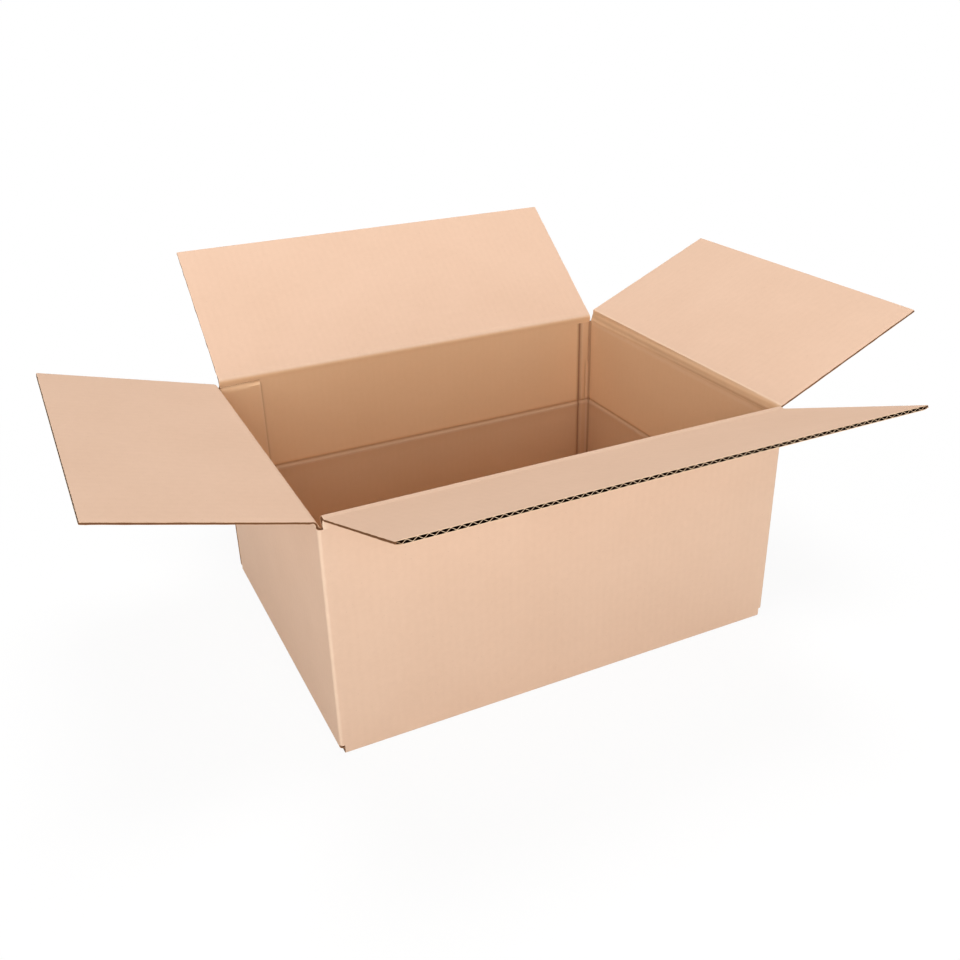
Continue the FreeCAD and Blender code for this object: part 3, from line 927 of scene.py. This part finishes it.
def raw_paper(name, plain, deep, cut_side_tone):
    """Bare paper: the fluted medium or a cut edge, with its look beside a cut as the third colour."""
    shader = Shader(name)
    sheet = shader.node("UVMap", {"uv_map": "sheet"}).outputs["UV"]
    grain = shader.noise(sheet, *GRAIN)
    colour = shader.mix(shader.painted("wear_and_highlight"), shader.mix(grain, deep, plain), cut_side_tone)
    shader.feed(shader.surface, "Base Color", colour)
    shader.feed(shader.surface, "Roughness", shader.spread(grain, *RAW_ROUGHNESS))
    shader.feed(shader.surface, "Specular IOR Level", 0.0)
    shader.bumped(grain, *RAW_BUMP)
    return shader.material


def board_materials():
    outside = kraft("kraft_outside", seen(226, 194, 169), seen(206, 171, 144), seen(238, 214, 188))
    inside = kraft("kraft_inside", seen(226, 192, 167), seen(206, 169, 141), seen(240, 216, 190))
    rim = raw_paper("cut_liner", seen(240, 210, 178), seen(216, 180, 146), seen(190, 148, 112))
    # The fluted medium's near-black browns are painted shade of the hollow flutes; it is lighter beside
    # the cuts.
    core = raw_paper("fluted_medium_painted_shade", seen(60, 36, 22), seen(34, 20, 12), seen(116, 80, 56))
    return outside, inside, rim, core


def make_tape():
    """The strip of packing tape under the bottom, with the saw-tooth ends of a tape cutter."""
    low, high = tape_box()
    teeth = round((high.y - low.y) / TAPE_TOOTH)
    made = bmesh.new()
    levels = []
    for z in (low.z, high.z):
        rows = []
        for k in range(2 * teeth + 1):
            y = between(low.y, high.y, k / (2 * teeth))
            reach = high.x - TAPE_TOOTH_DEPTH * (k % 2)
            places = [between(-reach, reach, c / TAPE_CELLS) for c in range(TAPE_CELLS + 1)]
            rows.append([made.verts.new(Vector((x, y, z)) * MM) for x in places])
        levels.append(rows)
    lower, upper = levels
    last_row, last_column = len(lower) - 1, len(lower[0]) - 1
    for rows in levels:
        for j in range(last_row):
            for i in range(last_column):
                made.faces.new([rows[j][i], rows[j][i + 1], rows[j + 1][i + 1], rows[j + 1][i]])
    for j in (0, last_row):
        for i in range(last_column):
            made.faces.new([lower[j][i], lower[j][i + 1], upper[j][i + 1], upper[j][i]])
    for i in (0, last_column):
        for j in range(last_row):
            made.faces.new([lower[j][i], lower[j + 1][i], upper[j + 1][i], upper[j][i]])
    bmesh.ops.recalc_face_normals(made, faces=made.faces)
    data = bpy.data.meshes.new("tape_strip")
    made.to_mesh(data)
    made.free()
    data.materials.append(tape_material())
    piece = bpy.data.objects.new("tape_strip", data)
    bpy.context.scene.collection.objects.link(piece)
    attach(piece, "box")
    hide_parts("bottom_tape")


def tape_material():
    """Buff packing tape, glossy, with faint streaks along it."""
    shader = Shader("packing_tape")
    place = shader.node("TexCoord").outputs["Object"]
    streak = shader.noise(shader.stretched(place, *STREAK_STRETCH), *STREAK)
    shader.feed(shader.surface, "Base Color", shader.mix(streak, seen(172, 128, 82), seen(192, 150, 104)))
    shader.feed(shader.surface, "Roughness", shader.spread(streak, *TAPE_ROUGHNESS))
    shader.bumped(streak, *TAPE_BUMP)
    return shader.material


def shown_white(shader, plain, glow):
    """Mix a white glow over plain for what the camera, glossy and see-through rays meet."""
    path = shader.node("LightPath").outputs
    direct = shader.math("MAXIMUM", path["Is Camera Ray"], path["Is Glossy Ray"])
    direct = shader.math("MAXIMUM", direct, path["Is Transmission Ray"])
    white = shader.node("Emission", None, Color=WHITE, Strength=1.0).outputs[0]
    mixed = shader.node("MixShader")
    shader.feed(mixed, "Fac", shader.math("MULTIPLY", direct, glow))
    shader.tree.links.new(plain, mixed.inputs[1])
    shader.tree.links.new(white, mixed.inputs[2])
    return mixed.outputs[0]


def make_floor():
    """A plain white floor that keeps a soft trace of the box's shadow around it."""
    half = FLOOR_HALF
    data = bpy.data.meshes.new("studio_floor")
    corners = [(-half, -half, 0), (half, -half, 0), (half, half, 0), (-half, half, 0)]
    data.from_pydata(corners, [], [(0, 1, 2, 3)])
    shader = Shader("floor_white")
    path = shader.node("LightPath").outputs["Is Camera Ray"]
    shader.feed(shader.surface, "Base Color", shader.mix(path, FLOOR_BOUNCE, WHITE))
    shader.feed(shader.surface, "Roughness", FLOOR_ROUGHNESS)
    shader.feed(shader.surface, "Specular IOR Level", FLOOR_SHINE)
    place = shader.node("TexCoord").outputs["Object"]
    away = shader.node("VectorMath", {"operation": "LENGTH"})
    shader.tree.links.new(place, away.inputs[0])
    plain = shader.node("MapRange", None, Value=away.outputs["Value"])
    plain.inputs["From Min"].default_value = SHADOW_NEAR
    plain.inputs["From Max"].default_value = SHADOW_FAR
    plain.inputs["To Min"].default_value = 1 - SHADOW_TRACE
    shown = shown_white(shader, shader.surface.outputs[0], plain.outputs["Result"])
    shader.tree.links.new(shown, shader.output.inputs["Surface"])
    data.materials.append(shader.material)
    floor = bpy.data.objects.new("studio_floor", data)
    bpy.context.scene.collection.objects.link(floor)


def make_world():
    """Even white light from all round, shown as plain white."""
    world = bpy.data.worlds.new("studio_world")
    world.use_nodes = True
    tree = world.node_tree

    def larger(a, b):
        node = tree.nodes.new("ShaderNodeMath")
        node.operation = "MAXIMUM"
        tree.links.new(a, node.inputs[0])
        tree.links.new(b, node.inputs[1])
        return node.outputs[0]

    light = tree.nodes["Background"]
    white = tree.nodes.new("ShaderNodeBackground")
    for background, strength in ((light, WORLD_LIGHT), (white, 1.0)):
        background.inputs["Color"].default_value = WHITE
        background.inputs["Strength"].default_value = strength
    path = tree.nodes.new("ShaderNodeLightPath").outputs
    direct = larger(path["Is Camera Ray"], path["Is Glossy Ray"])
    direct = larger(direct, path["Is Transmission Ray"])
    mixed = tree.nodes.new("ShaderNodeMixShader")
    tree.links.new(direct, mixed.inputs["Fac"])
    tree.links.new(light.outputs[0], mixed.inputs[1])
    tree.links.new(white.outputs[0], mixed.inputs[2])
    tree.links.new(mixed.outputs[0], tree.nodes["World Output"].inputs["Surface"])
    bpy.context.scene.world = world


def make_lamp(name, place, power, size):
    """A large soft square lamp that faces the middle of the box."""
    data = bpy.data.lights.new(name, "AREA")
    data.energy = power
    data.size = size
    lamp = bpy.data.objects.new(name, data)
    lamp.location = place
    toward = LAMP_TARGET - lamp.location
    lamp.rotation_euler = toward.to_track_quat("-Z", "Y").to_euler()
    bpy.context.scene.collection.objects.link(lamp)


def make_camera():
    """The photograph's own viewpoint."""
    azimuth, elevation, roll = map(math.radians, (CAMERA_AZIMUTH, CAMERA_ELEVATION, CAMERA_ROLL))
    level = Vector((math.sin(azimuth), math.cos(azimuth), 0))
    forward = level * math.cos(elevation) + UP * math.sin(elevation)
    level_right = forward.cross(UP).normalized()
    right = level_right * math.cos(roll) + level_right.cross(forward) * math.sin(roll)
    up = right.cross(forward)
    data = bpy.data.cameras.new("photo_camera")
    data.lens = CAMERA_LENS
    data.sensor_width = CAMERA_SENSOR
    camera = bpy.data.objects.new("photo_camera", data)
    turn = Matrix((right, up, -forward)).transposed().to_4x4()
    camera.matrix_world = Matrix.Translation(CAMERA_PLACE * MM) @ turn
    bpy.context.scene.collection.objects.link(camera)
    bpy.context.scene.camera = camera


def main():
    bpy.context.scene.view_settings.view_transform = "Standard"
    make_camera()
    materials = board_materials()
    make_sleeve(materials)
    for wall in WALLS:
        make_flap(wall, materials)
    make_tape()
    make_floor()
    make_world()
    for lamp in LAMPS:
        make_lamp(*lamp)


main()
